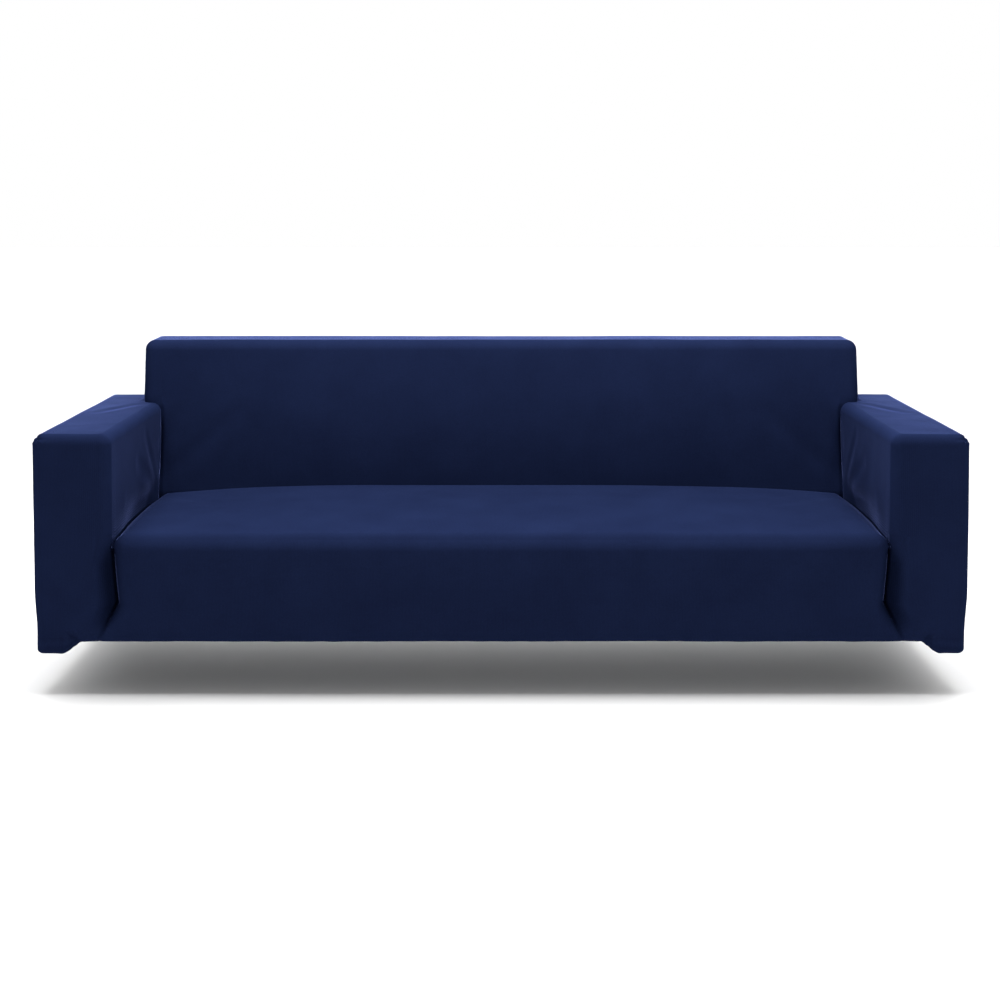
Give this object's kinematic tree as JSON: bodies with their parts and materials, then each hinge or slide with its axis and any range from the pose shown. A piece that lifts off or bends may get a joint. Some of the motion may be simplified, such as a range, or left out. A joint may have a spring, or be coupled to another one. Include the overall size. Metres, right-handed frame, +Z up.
{
  "type": "sofa slipcover",
  "caption": "Fitted stretch slipcover for a wide sofa with square arms, hollow and open underneath, sewn from knitted panels with a turned-in elastic hem.",
  "frame": {"origin": "under the cloth of the back's top, at its middle, where the cover hangs on what it is fitted over", "axes": "+X to the right as seen from the front, -Y towards the front, +Z up"},
  "size_m": [2.2, 0.862, 0.6815],
  "materials": {
    "knitted_cloth": "knitted polyester with a soft sheen"
  },
  "bodies": {
    "root": {"seat_and_back_panel": "knitted_cloth", "arm_panel_left": "knitted_cloth", "arm_panel_right": "knitted_cloth", "side_panel_left": "knitted_cloth", "side_panel_right": "knitted_cloth", "rear_panel": "knitted_cloth"}
  },
  "joints": []
}
